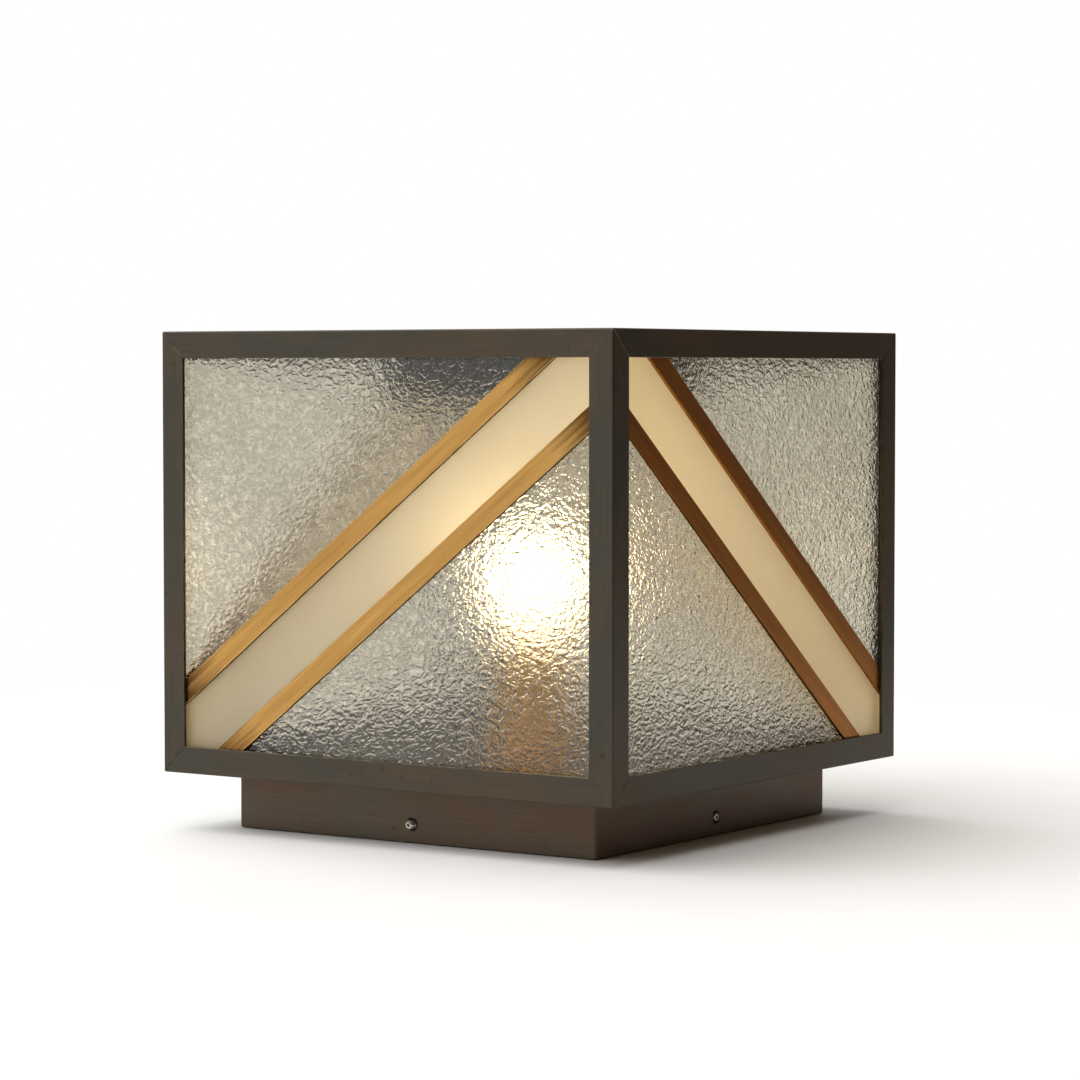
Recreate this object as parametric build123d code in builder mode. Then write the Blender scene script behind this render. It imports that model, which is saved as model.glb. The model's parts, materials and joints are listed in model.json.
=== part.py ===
from build123d import *
import os
from math import sqrt

os.makedirs("parts", exist_ok=True)

# Sizes in millimetres. The origin is the centre of the plinth's foot, +Z up, the front looks along -Y.

# Body: a square cage of angle bars, mitred at every corner
body_width = 300.0
body_height = 246.0
angle_leg = 15.0
angle_thick = 2.0
angle_round = 1.0

# Plinth: a square skirt welded under the floor plate; the height is what shows below the body
plinth_width = 240.0
plinth_height = 32.0
plinth_thick = 1.5
plinth_round = 2.0

# Set screws in the middle of the plinth sides, with weld nuts behind the walls
set_screw_height = 10.0
set_screw_dia = 5.0
set_screw_length = 8.0
set_screw_socket = 2.5
set_screw_hole = 7.0
set_screw_tip_gap = 0.3
front_screw_out = 2.5
nut_across = 10.0
nut_thick = 4.0
nut_gap = 2.2

# Mounting plate fixed to the pillar, with a lug on each side for the set screws to clamp
mount_thick = 2.0
lug_thick = 3.0
lug_width = 60.0
lug_height = 18.0
mount_slot_spacing = 150.0
mount_slot_length = 18.0
mount_slot_width = 7.0
mount_cable_hole = 24.0

# Slanted band: an opal pane between two T-bars, through the middle of each side
band_angle = 37.8
band_clear = 32.6
strip_width = 11.0
strip_thick = 2.0
strip_web = 2.0
strip_lap = 4.0
pane_thick = 4.0
pane_lap = 6.0
pane_gap = 0.25
pane_top_gap = 2.0
seal_edge = 2.0
seal_gap = 0.2

# Floor plate and what is fixed to it
floor_thick = 1.5
floor_gap = 1.0
holder_screw_dia = 4.0
holder_screw_head = 8.0
holder_screw_head_height = 2.6
holder_screw_length = 6.0
holder_screw_socket = 2.5
holder_screw_spread = 50.0
clip_thick = 1.0
clip_width = 14.0
clip_height = 10.0
clip_foot = 7.0
clip_spread = 90.0
screw_gap = 0.1

# Ledge under the top rails
ledge_thick = 1.5
ledge_drop = 11.0
ledge_flange = 6.5
ledge_shelf = 16.0

# Lid: solar panel on a folded tray
lid_seam = 3.0
lid_sink = 0.8
solar_glass_thick = 2.8
cell_thick = 0.4
cell_columns = 3
cell_rows = 6
cell_border_side = 14.0
cell_border_end = 26.0
cell_spacing = 1.2
tray_thick = 1.5
tray_inset = 1.0
seal_thick = 1.5
lid_seal_width = 5.0

# Battery box under the tray
box_length = 150.0
box_width = 90.0
box_height = 30.0
box_wall = 2.0
box_round = 6.0
cover_thick = 2.5
cover_lip = 4.0
cover_gap = 0.1
battery_dia = 18.4
battery_length = 65.0
battery_pitch = 20.0
battery_from_button = 32.0
cradle_width = 3.0
cradle_height = 10.0
cradle_floor = 1.0
cradle_spread = 44.0
board_length = 56.0
board_width = 64.0
board_thick = 1.6
board_inset = 39.0
board_post = 5.0
board_post_dia = 5.0
button_inset = 13.0
button_dia = 10.0
button_out = 2.5
button_collar = 13.0
button_collar_thick = 1.5
button_guide_wall = 1.5
button_guide_height = 8.0
button_gap = 0.08

# Lampholder on the floor plate
base_dia = 60.0
base_flange = 3.0
base_height = 10.5
holder_dia = 40.0
holder_height = 46.0
holder_wall = 1.4
holder_bead = 1.5
core_drop = 4.0
core_floor = 10.0
core_gap = 0.1
contact_dia = 8.0
wire_hole = 12.0

# Bulb standing in the lampholder
bulb_dia = 60.0
bulb_height = 103.0
bulb_shell = 1.5
bulb_cut = 15.0
bulb_neck_dia = 29.0
bulb_neck_gap = 3.0
cap_dia = 26.3
cap_length = 27.0
cap_ridge = 0.9
cap_pitch = 3.6
cap_turns = 5
cap_tip_dia = 10.0
cap_tip_height = 2.0
cap_clearance = 0.45

# Derived heights and half widths
half = body_width / 2
opening_half = half - angle_leg
body_top = plinth_height + body_height
floor_bottom = plinth_height + angle_thick
floor_top = floor_bottom + floor_thick
plinth_half = plinth_width / 2
plinth_inside = plinth_half - plinth_thick
mount_half = plinth_inside - nut_thick - nut_gap

# Derived depths behind the outer plane of a side, and heights above the bottom of the body
strip_front = angle_thick
pane_front = strip_front + strip_thick
pane_back = pane_front + pane_thick
pane_half = opening_half + pane_lap
pane_bottom = angle_thick + floor_thick
pane_top = body_height - angle_thick - pane_top_gap
band_middle = body_height / 2
strip_inner = band_clear / 2
strip_outer = strip_inner + strip_width
web_inner = strip_inner + (strip_width - strip_web) / 2
web_outer = web_inner + strip_web


def save(part, name):
    """Name a finished piece and write its file."""
    part.label = name
    export_step(part, f"parts/{name}.step")


def side_plane(out_x, out_y):
    """Outer plane of one side: x to the right seen from outside, y up from the bottom of the body."""
    outward = Vector(out_x, out_y, 0)
    foot = outward * half + Vector(0, 0, plinth_height)
    return Plane(foot, x_dir=Vector(0, 0, 1).cross(outward), z_dir=outward)


# Each side with the corner at its right-hand end and the slope of its band
sides = [
    ("front", "front_right", side_plane(0, -1), band_angle),
    ("right", "back_right", side_plane(1, 0), -band_angle),
    ("back", "back_left", side_plane(0, 1), band_angle),
    ("left", "front_left", side_plane(-1, 0), -band_angle),
]


# Cage


def angle_bar(start, axis, outward, length):
    """Angle bar that runs from an outer corner of the cage, mitred to the two bars it meets at each end."""
    beside = axis.cross(outward)
    with BuildPart() as bar:
        with BuildSketch(Plane(start, x_dir=-outward, z_dir=axis)) as section:
            with BuildLine():
                Polyline(
                    (0, 0),
                    (angle_leg, 0),
                    (angle_leg, angle_thick),
                    (angle_thick, angle_thick),
                    (angle_thick, angle_leg),
                    (0, angle_leg),
                    close=True,
                )
            make_face()
            fillet(section.vertices().sort_by_distance((0, 0, 0))[0], angle_round)
        extrude(amount=length)
        for end, inward in ((start, axis), (start + axis * length, -axis)):
            for face_out in (outward, beside):
                split(bisect_by=Plane(end, z_dir=inward + face_out), keep=Keep.TOP)
    return bar.part


for side, corner, plane, slant in sides:
    up = plane.y_dir
    left_foot = plane.origin - plane.x_dir * half
    right_foot = plane.origin + plane.x_dir * half
    right_top = right_foot + up * body_height
    save(angle_bar(left_foot, plane.x_dir, plane.z_dir, body_width), f"bottom_rail_{side}")
    save(angle_bar(right_top, -plane.x_dir, plane.z_dir, body_width), f"top_rail_{side}")
    save(angle_bar(right_foot, up, plane.z_dir, body_height), f"post_{corner}")


# Glazing


def stretch(slant, low, high, mode):
    """In the open sketch of a side: what lies between two slanted lines, measured square to the band."""
    with Locations(Location((0, band_middle, 0), (0, 0, slant))):
        with Locations((0, (low + high) / 2)):
            Rectangle(2 * body_width, high - low, mode=mode)


def sheet(half_width, bottom, top, mode=Mode.ADD):
    """In the open sketch of a side: an upright rectangle on its middle line."""
    with Locations((0, (bottom + top) / 2)):
        Rectangle(2 * half_width, top - bottom, mode=mode)


def pane(plane, slant, low, high):
    """Flat pane behind the legs of the cage, cut along the band."""
    with BuildPart() as glass:
        with BuildSketch(plane.offset(-pane_back)):
            sheet(pane_half, pane_bottom, pane_top)
            stretch(slant, low, high, Mode.INTERSECT)
        extrude(amount=pane_thick)
    return glass.part


def strip(plane, slant, way):
    """T-bar along one edge of the band: a flat face outside and a web between the panes."""
    face_low, face_high = sorted((way * strip_inner, way * strip_outer))
    web_low, web_high = sorted((way * web_inner, way * web_outer))
    with BuildPart() as bar:
        with BuildSketch(plane.offset(-pane_front)):
            sheet(opening_half + strip_lap, angle_leg - strip_lap, body_height - angle_leg + strip_lap)
            stretch(slant, face_low, face_high, Mode.INTERSECT)
        extrude(amount=strip_thick)
        with BuildSketch(plane.offset(-pane_back)):
            sheet(opening_half + strip_lap, angle_leg - strip_lap, body_height - angle_leg + strip_lap)
            stretch(slant, web_low, web_high, Mode.INTERSECT)
        extrude(amount=pane_thick)
    return bar.part


for side, corner, plane, slant in sides:
    glass_edge = web_outer + pane_gap
    opal_edge = web_inner - pane_gap
    save(pane(plane, slant, glass_edge, body_width), f"upper_glass_{side}")
    save(pane(plane, slant, -body_width, -glass_edge), f"lower_glass_{side}")
    save(pane(plane, slant, -opal_edge, opal_edge), f"opal_band_{side}")
    save(strip(plane, slant, 1), f"upper_strip_{side}")
    save(strip(plane, slant, -1), f"lower_strip_{side}")

# Rubber seals between the legs of the cage and the panes, cut out where the T-bars cross
with BuildPart() as glazing_seals:
    for side, corner, plane, slant in sides:
        with BuildSketch(plane.offset(-pane_front)):
            sheet(pane_half, pane_bottom, pane_top)
            sheet(
                opening_half + seal_edge,
                angle_leg - seal_edge,
                body_height - angle_leg + seal_edge,
                Mode.SUBTRACT,
            )
            with BuildSketch(mode=Mode.SUBTRACT):
                reach = strip_lap + seal_gap
                sheet(opening_half + reach, angle_leg - reach, body_height - angle_leg + reach)
                stretch(slant, -strip_outer - seal_gap, strip_outer + seal_gap, Mode.INTERSECT)
        extrude(amount=strip_thick)
save(glazing_seals.part, "glazing_seals")

# Clips on the floor plate that hold the feet of the panes
with BuildPart() as glass_clips:
    for side, corner, plane, slant in sides:
        with BuildSketch(plane.offset(-pane_back - clip_thick)):
            with Locations((-clip_spread, pane_bottom), (clip_spread, pane_bottom)):
                Rectangle(clip_width, clip_height, align=(Align.CENTER, Align.MIN))
        extrude(amount=clip_thick)
        with BuildSketch(plane.offset(-pane_back - clip_foot)):
            with Locations((-clip_spread, pane_bottom), (clip_spread, pane_bottom)):
                Rectangle(clip_width, clip_thick, align=(Align.CENTER, Align.MIN))
        extrude(amount=clip_foot)
save(glass_clips.part, "glass_clips")

# Z-shaped ledge welded into a square under the top rails: holds the heads of the panes, carries the lid
ledge_top = body_top - angle_thick
ledge_half = half - pane_back
with BuildPart() as lid_ledge:
    for level, height, depth in (
        (ledge_top - ledge_thick, ledge_thick, ledge_flange),
        (ledge_top - ledge_drop, ledge_drop, ledge_thick),
        (ledge_top - ledge_drop, ledge_thick, ledge_shelf),
    ):
        with BuildSketch(Plane.XY.offset(level)):
            Rectangle(2 * ledge_half, 2 * ledge_half)
            Rectangle(2 * (ledge_half - depth), 2 * (ledge_half - depth), mode=Mode.SUBTRACT)
        extrude(amount=height)
save(lid_ledge.part, "lid_ledge")


# Floor plate and plinth

holder_spots = [*GridLocations(holder_screw_spread, 0, 2, 1)]
holder_screw_hole = holder_screw_dia / 2 + screw_gap

with BuildPart() as floor_plate:
    with BuildSketch(Plane.XY.offset(floor_bottom)):
        floor_half = half - angle_thick - floor_gap
        Rectangle(2 * floor_half, 2 * floor_half)
        with Locations(*holder_spots):
            Circle(holder_screw_hole, mode=Mode.SUBTRACT)
    extrude(amount=floor_thick)
save(floor_plate.part, "floor_plate")

with BuildPart() as plinth:
    with BuildSketch():
        RectangleRounded(plinth_width, plinth_width, plinth_round)
        Rectangle(2 * plinth_inside, 2 * plinth_inside, mode=Mode.SUBTRACT)
    extrude(amount=floor_bottom)
    for side, corner, plane, slant in sides:
        with BuildSketch(Plane((0, 0, set_screw_height), z_dir=plane.z_dir)):
            Circle(set_screw_hole / 2)
        extrude(amount=body_width, mode=Mode.SUBTRACT)
save(plinth.part, "plinth")

# Weld nuts on the inner faces of the plinth
with BuildPart() as weld_nuts:
    for side, corner, plane, slant in sides:
        axis_plane = Plane((0, 0, set_screw_height), z_dir=plane.z_dir)
        with BuildSketch(axis_plane.offset(plinth_inside - nut_thick)):
            RegularPolygon(nut_across / 2, 6, major_radius=False)
            Circle(set_screw_dia / 2 + screw_gap, mode=Mode.SUBTRACT)
        extrude(amount=nut_thick)
save(weld_nuts.part, "weld_nuts")


def set_screw(plane, out):
    """Headless screw with a hexagon socket, its tip facing the mounting plate."""
    tip = mount_half + set_screw_tip_gap + out
    axis_plane = Plane((0, 0, set_screw_height), z_dir=plane.z_dir)
    with BuildPart() as screw:
        with BuildSketch(axis_plane.offset(tip)):
            Circle(set_screw_dia / 2)
        extrude(amount=set_screw_length)
        chamfer(screw.edges().filter_by(GeomType.CIRCLE), set_screw_dia / 10)
        with BuildSketch(axis_plane.offset(tip + set_screw_length / 2)):
            RegularPolygon(set_screw_socket / 2, 6, major_radius=False)
        extrude(amount=set_screw_length, mode=Mode.SUBTRACT)
    return screw.part


for side, corner, plane, slant in sides:
    save(set_screw(plane, front_screw_out if side == "front" else 0), f"set_screw_{side}")

with BuildPart() as mounting_plate:
    with BuildSketch():
        Rectangle(2 * mount_half, 2 * mount_half)
        with GridLocations(mount_slot_spacing, mount_slot_spacing, 2, 2):
            SlotOverall(mount_slot_length, mount_slot_width, mode=Mode.SUBTRACT)
        Circle(mount_cable_hole / 2, mode=Mode.SUBTRACT)
    extrude(amount=mount_thick)
save(mounting_plate.part, "mounting_plate")

# Lugs welded upright on the edges of the mounting plate
with BuildPart() as mount_lugs:
    for side, corner, plane, slant in sides:
        upright = Plane((0, 0, mount_thick), x_dir=plane.x_dir, z_dir=plane.z_dir)
        with BuildSketch(upright.offset(mount_half - lug_thick)):
            Rectangle(lug_width, lug_height, align=(Align.CENTER, Align.MIN))
        extrude(amount=lug_thick)
save(mount_lugs.part, "mount_lugs")


# Lampholder

holder_bottom = floor_top + base_height
holder_top = holder_bottom + holder_height
core_top = holder_top - core_drop
socket_floor = holder_bottom + core_floor

# Turned brass cup: a foot screwed to the floor plate and a beaded sleeve above it
cup_inside = holder_dia / 2 - holder_wall
bead_heights = (holder_bottom + holder_bead, holder_top - holder_bead)
with BuildPart() as holder_cup:
    with BuildSketch(Plane.XZ):
        with Locations((0, floor_top)):
            Rectangle(base_dia / 2, base_flange, align=(Align.MIN, Align.MIN))
            Rectangle(holder_dia / 2, base_height + holder_height, align=(Align.MIN, Align.MIN))
        with Locations(*[(holder_dia / 2, height) for height in bead_heights]):
            Circle(holder_bead)
        with Locations((0, holder_bottom)):
            Rectangle(cup_inside, holder_height, align=(Align.MIN, Align.MIN), mode=Mode.SUBTRACT)
        with Locations((0, floor_top)):
            Rectangle(wire_hole / 2, base_height, align=(Align.MIN, Align.MIN), mode=Mode.SUBTRACT)
    revolve(axis=Axis.Z)
    with BuildSketch(Plane.XY.offset(floor_top)):
        with Locations(*holder_spots):
            Circle(holder_screw_hole)
    extrude(amount=base_flange, mode=Mode.SUBTRACT)
save(holder_cup.part, "holder_cup")

# Screws through the foot of the cup into the floor plate
screw_seat = floor_top + base_flange
with BuildPart() as holder_screws:
    with BuildSketch(Plane.XY.offset(screw_seat)):
        with Locations(*holder_spots):
            Circle(holder_screw_head / 2)
    extrude(amount=holder_screw_head_height)
    fillet(holder_screws.faces().group_by(Axis.Z)[-1].edges(), holder_screw_head_height / 3)
    with BuildSketch(Plane.XY.offset(screw_seat - holder_screw_length)):
        with Locations(*holder_spots):
            Circle(holder_screw_dia / 2)
    extrude(amount=holder_screw_length)
    with BuildSketch(Plane.XY.offset(screw_seat + holder_screw_head_height / 2)):
        with Locations(*holder_spots):
            RegularPolygon(holder_screw_socket / 2, 6, major_radius=False)
    extrude(amount=holder_screw_head_height, mode=Mode.SUBTRACT)
save(holder_screws.part, "holder_screws")

with BuildPart() as holder_core:
    with BuildSketch(Plane.XY.offset(holder_bottom)):
        Circle(cup_inside - core_gap)
    extrude(amount=core_top - holder_bottom)
    with BuildSketch(Plane.XY.offset(socket_floor)):
        Circle(cap_dia / 2 + cap_clearance)
    extrude(amount=core_top, mode=Mode.SUBTRACT)
save(holder_core.part, "holder_core")

# Bulb: its tip stands on the contact, its neck just above the core of the lampholder
cap_top = core_top + bulb_neck_gap
tip_bottom = cap_top - cap_length
globe_middle = tip_bottom + bulb_height - bulb_dia / 2
cut_height = globe_middle - bulb_cut
cut_radius = sqrt((bulb_dia / 2) ** 2 - bulb_cut**2)
shell_radius = bulb_dia / 2 - bulb_shell
neck_radius = bulb_neck_dia / 2

with BuildPart() as centre_contact:
    with BuildSketch(Plane.XY.offset(socket_floor)):
        Circle(contact_dia / 2)
    extrude(amount=tip_bottom - socket_floor)
save(centre_contact.part, "centre_contact")

with BuildPart() as bulb_globe:
    with Locations((0, 0, globe_middle)):
        Sphere(bulb_dia / 2)
        Sphere(shell_radius, mode=Mode.SUBTRACT)
    split(bisect_by=Plane.XY.offset(cut_height), keep=Keep.TOP)
save(bulb_globe.part, "bulb_globe")

# Cone of the bulb's body, in line with the globe, down to a straight neck
cone_drop = (cut_radius - neck_radius) * cut_radius / bulb_cut
with BuildPart() as bulb_body:
    with BuildSketch(Plane.XZ):
        with BuildLine():
            Polyline(
                (0, cap_top),
                (neck_radius, cap_top),
                (neck_radius, cut_height - cone_drop),
                (cut_radius, cut_height),
                (0, cut_height),
                close=True,
            )
        make_face()
    revolve(axis=Axis.Z)
save(bulb_body.part, "bulb_body")

with BuildPart() as bulb_cap:
    with BuildSketch(Plane.XZ):
        root = cap_dia / 2 - cap_ridge
        with BuildLine():
            Polyline(
                (0, tip_bottom),
                (cap_tip_dia / 2, tip_bottom),
                (cap_tip_dia / 2, tip_bottom + cap_tip_height),
                (root, tip_bottom + 2 * cap_tip_height),
                (root, cap_top),
                (0, cap_top),
                close=True,
            )
        make_face()
        for turn in range(cap_turns):
            with Locations((root, cap_top - cap_pitch * (turn + 1))):
                Circle(cap_ridge)
    revolve(axis=Axis.Z)
save(bulb_cap.part, "bulb_cap")


# Lid with the solar panel

panel_half = opening_half - lid_seam
panel_top = body_top - lid_sink
cell_top = panel_top - solar_glass_thick
tray_top = cell_top - cell_thick
tray_bottom = ledge_top - ledge_drop + ledge_thick + seal_thick
tray_half = panel_half - tray_inset

with BuildPart() as solar_glass:
    with BuildSketch(Plane.XY.offset(cell_top)):
        Rectangle(2 * panel_half, 2 * panel_half)
    extrude(amount=solar_glass_thick)
save(solar_glass.part, "solar_glass")

column_pitch = 2 * (panel_half - cell_border_side) / cell_columns
row_pitch = 2 * (panel_half - cell_border_end) / cell_rows
with BuildPart() as solar_cells:
    with BuildSketch(Plane.XY.offset(tray_top)):
        with GridLocations(column_pitch, row_pitch, cell_columns, cell_rows):
            Rectangle(column_pitch - cell_spacing, row_pitch - cell_spacing)
    extrude(amount=cell_thick)
save(solar_cells.part, "solar_cells")

with BuildPart() as lid_tray:
    with BuildSketch(Plane.XY.offset(tray_bottom)):
        Rectangle(2 * tray_half, 2 * tray_half)
    extrude(amount=tray_top - tray_bottom)
    with BuildSketch(Plane.XY.offset(tray_bottom)):
        Rectangle(2 * (tray_half - tray_thick), 2 * (tray_half - tray_thick))
    extrude(amount=tray_top - tray_thick - tray_bottom, mode=Mode.SUBTRACT)
save(lid_tray.part, "lid_tray")

with BuildPart() as lid_seal:
    with BuildSketch(Plane.XY.offset(tray_bottom - seal_thick)):
        Rectangle(2 * tray_half, 2 * tray_half)
        Rectangle(2 * (tray_half - lid_seal_width), 2 * (tray_half - lid_seal_width), mode=Mode.SUBTRACT)
    extrude(amount=seal_thick)
save(lid_seal.part, "lid_seal")


# Battery box

box_top = tray_top - tray_thick
box_bottom = box_top - box_height
cover_bottom = box_bottom - cover_thick
inner_length = box_length - 2 * box_wall
inner_width = box_width - 2 * box_wall
button_x = box_length / 2 - button_inset
battery_x = button_x - battery_from_button
board_x = board_inset - box_length / 2

with BuildPart() as battery_box:
    with BuildSketch(Plane.XY.offset(box_bottom)):
        RectangleRounded(box_length, box_width, box_round)
    extrude(amount=box_height)
    with BuildSketch(Plane.XY.offset(box_bottom)):
        RectangleRounded(inner_length, inner_width, box_round - box_wall)
    extrude(amount=box_height - box_wall, mode=Mode.SUBTRACT)
save(battery_box.part, "battery_box")

# Cover with a lip inside the box, cradles for the cells, posts for the board and a guide for the button
battery_spots = [(battery_x - battery_pitch / 2, 0), (battery_x + battery_pitch / 2, 0)]
battery_height = box_bottom + cradle_floor + battery_dia / 2
guide_hole = button_dia / 2 + button_gap
collar_hole = button_collar / 2 + button_gap
with BuildPart() as battery_cover:
    with BuildSketch(Plane.XY.offset(cover_bottom)):
        RectangleRounded(box_length, box_width, box_round)
    extrude(amount=cover_thick)
    with BuildSketch(Plane.XY.offset(box_bottom)):
        RectangleRounded(inner_length - 2 * cover_gap, inner_width - 2 * cover_gap, box_round - box_wall)
        Rectangle(inner_length - 2 * box_wall, inner_width - 2 * box_wall, mode=Mode.SUBTRACT)
    extrude(amount=cover_lip)
    with BuildSketch(Plane.XY.offset(box_bottom)):
        with Locations((battery_x, -cradle_spread / 2), (battery_x, cradle_spread / 2)):
            Rectangle(2 * battery_pitch, cradle_width)
    extrude(amount=cradle_height)
    with BuildSketch(Plane.XZ.offset(-battery_length / 2)):
        with Locations(*[(x, battery_height) for x, y in battery_spots]):
            Circle(battery_dia / 2 + screw_gap)
    extrude(amount=battery_length, mode=Mode.SUBTRACT)
    with BuildSketch(Plane.XY.offset(box_bottom)):
        with Locations((board_x, 0)):
            with GridLocations(board_length - 2 * board_post_dia, board_width - 2 * board_post_dia, 2, 2):
                Circle(board_post_dia / 2)
    extrude(amount=board_post)
    with BuildSketch(Plane.XY.offset(box_bottom)):
        with Locations((button_x, 0)):
            Circle(collar_hole + button_guide_wall)
            Circle(collar_hole, mode=Mode.SUBTRACT)
    extrude(amount=button_guide_height)
    with BuildSketch(Plane.XY.offset(cover_bottom)):
        with Locations((button_x, 0)):
            Circle(guide_hole)
    extrude(amount=cover_thick, mode=Mode.SUBTRACT)
save(battery_cover.part, "battery_cover")

with BuildPart() as battery_cells:
    with BuildSketch(Plane.XZ.offset(-battery_length / 2)):
        with Locations(*[(x, battery_height) for x, y in battery_spots]):
            Circle(battery_dia / 2)
    extrude(amount=battery_length)
save(battery_cells.part, "battery_cells")

with BuildPart() as controller_board:
    with BuildSketch(Plane.XY.offset(box_bottom + board_post)):
        with Locations((board_x, 0)):
            Rectangle(board_length, board_width)
    extrude(amount=board_thick)
save(controller_board.part, "controller_board")

# Push button through the cover, kept in by its collar
with BuildPart() as power_button:
    with BuildSketch(Plane.XY.offset(cover_bottom - button_out)):
        with Locations((button_x, 0)):
            Circle(button_dia / 2)
    extrude(amount=button_out + cover_thick)
    chamfer(power_button.edges().sort_by(Axis.Z)[0], button_out / 4)
    with BuildSketch(Plane.XY.offset(box_bottom)):
        with Locations((button_x, 0)):
            Circle(button_collar / 2)
    extrude(amount=button_collar_thick)
save(power_button.part, "power_button")
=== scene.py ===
# %% [markdown]
# A square pillar light: a cage of dark bronze angle bars on a low plinth, four glazed sides with a
# slanted opal band between two brass bars, a bulb inside and a solar panel for a lid.
# The solid pieces come ready made, at their real size in metres, +Z up, the front looking along -Y.
# This lesson gives them their looks: softened edges, crinkled glass, brushed and aged metal, light.
# The box of the bare pieces is kept first, so that the finished model can be compared with it.

# %% Load the frame
import json
from math import atan2, degrees, pi, radians

import bmesh
import bpy
from mathutils import Color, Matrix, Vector

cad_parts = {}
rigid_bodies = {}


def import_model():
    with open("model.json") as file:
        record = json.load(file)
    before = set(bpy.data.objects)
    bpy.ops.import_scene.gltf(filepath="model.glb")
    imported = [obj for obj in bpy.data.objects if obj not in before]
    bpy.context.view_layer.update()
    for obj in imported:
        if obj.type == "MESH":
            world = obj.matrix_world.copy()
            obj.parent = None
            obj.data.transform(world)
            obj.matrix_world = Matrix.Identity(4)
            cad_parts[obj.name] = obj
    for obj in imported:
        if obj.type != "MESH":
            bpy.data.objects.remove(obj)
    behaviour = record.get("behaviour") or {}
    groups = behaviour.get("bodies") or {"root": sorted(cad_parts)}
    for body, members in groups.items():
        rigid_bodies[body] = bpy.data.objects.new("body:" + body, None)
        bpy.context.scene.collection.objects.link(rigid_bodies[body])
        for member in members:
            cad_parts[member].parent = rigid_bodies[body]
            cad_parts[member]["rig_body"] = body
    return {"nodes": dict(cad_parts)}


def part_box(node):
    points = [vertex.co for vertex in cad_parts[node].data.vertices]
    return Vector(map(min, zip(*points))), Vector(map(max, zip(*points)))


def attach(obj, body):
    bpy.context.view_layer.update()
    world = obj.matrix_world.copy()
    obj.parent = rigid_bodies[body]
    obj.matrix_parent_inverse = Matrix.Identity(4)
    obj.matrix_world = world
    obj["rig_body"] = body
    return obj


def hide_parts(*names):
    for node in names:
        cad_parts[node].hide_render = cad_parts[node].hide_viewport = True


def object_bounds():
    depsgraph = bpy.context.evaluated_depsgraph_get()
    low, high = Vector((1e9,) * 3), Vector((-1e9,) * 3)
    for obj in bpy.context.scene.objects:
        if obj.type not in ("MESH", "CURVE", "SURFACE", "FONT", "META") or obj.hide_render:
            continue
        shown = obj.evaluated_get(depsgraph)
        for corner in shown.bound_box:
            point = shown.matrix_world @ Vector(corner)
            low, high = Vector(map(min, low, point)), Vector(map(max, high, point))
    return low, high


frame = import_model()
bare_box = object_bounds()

scene = bpy.context.scene
bare_corners = [tuple(round(part, 4) for part in corner) for corner in bare_box]
print("pieces:", len(frame["nodes"]), "box:", bare_corners)

# %% [markdown]
# The camera comes first, because every later choice is judged through it. The lens is long, so the
# box keeps its straight look, and the camera stands a little lower than the rim of the lid, to the
# right of the front. These values were fitted to the corners of the box in the reference picture.

# %% Camera
camera_place = (1.1270, -1.6490, 0.2555)
camera_turn = radians(34.29)
camera_dip = radians(2.739)
camera_lens = 117.07
camera_sensor = 36.0

camera_data = bpy.data.cameras.new("camera")
camera_data.lens = camera_lens
camera_data.sensor_width = camera_sensor
camera = bpy.data.objects.new("camera", camera_data)
camera.location = camera_place
camera.rotation_euler = (pi / 2 - camera_dip, 0.0, camera_turn)
scene.collection.objects.link(camera)
scene.camera = camera
print("camera stands", round(Vector(camera_place).length, 3), "m from the middle of the foot")

# %% [markdown]
# All finishes below are node trees. One helper adds a node, sets its options and fills its inputs,
# and a few more name the steps that return often: arithmetic, clouds, spans and mixes. Small helpers
# keep each finish short enough to read like a recipe. They also serve the geometry trees.
# A cloudy noise keeps mostly to the middle of its range, so the two spans below cut out that part.

# %% Helpers that add nodes
most_noise = (0.3, 0.7)
middle_noise = (0.35, 0.65)
up_way = (0.0, 0.0, 1.0)


def add(tree, kind, options=None, inputs=None):
    """Add a node, set its options, and link or set its inputs by name or number."""
    node = tree.nodes.new(kind)
    for option, value in (options or {}).items():
        setattr(node, option, value)
    for socket, value in (inputs or {}).items():
        if isinstance(value, bpy.types.NodeSocket):
            tree.links.new(value, node.inputs[socket])
        else:
            node.inputs[socket].default_value = value
    return node


def arithmetic(tree, operation, first, second=0.0):
    """One sum on two numbers."""
    return add(tree, "ShaderNodeMath", {"operation": operation}, {0: first, 1: second}).outputs[0]


def vector_sum(tree, operation, first, second):
    """One sum on two vectors, with a vector as its result."""
    return add(tree, "ShaderNodeVectorMath", {"operation": operation}, {0: first, 1: second}).outputs[0]


def along(tree, place, direction):
    """How far a place lies along a direction."""
    options = {"operation": "DOT_PRODUCT"}
    return add(tree, "ShaderNodeVectorMath", options, {0: place, 1: direction}).outputs["Value"]


def even(cells):
    """The same number of cells to a metre along all three axes."""
    return (cells, cells, cells)


def clouds(tree, place, grain, detail=2.0, roughness=0.5, twist=0.0):
    """Cloudy pattern from 0 to 1, with as many cells to a metre along each axis as grain gives."""
    inputs = {
        "Vector": vector_sum(tree, "MULTIPLY", place, grain),
        "Scale": 1.0,
        "Detail": detail,
        "Roughness": roughness,
        "Distortion": twist,
    }
    return add(tree, "ShaderNodeTexNoise", None, inputs).outputs[0]


def span(tree, value, low, high, to_low=0.0, to_high=1.0):
    """Carry a value from one span to another, held at the ends."""
    inputs = {"Value": value, "From Min": low, "From Max": high, "To Min": to_low, "To Max": to_high}
    return add(tree, "ShaderNodeMapRange", {"clamp": True}, inputs).outputs[0]


def mix(tree, share, first, second, way="MIX"):
    """Lay a second colour over a first by a share."""
    options = {"data_type": "RGBA", "blend_type": way}
    return add(tree, "ShaderNodeMix", options, {0: share, 6: first, 7: second}).outputs[2]


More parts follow.
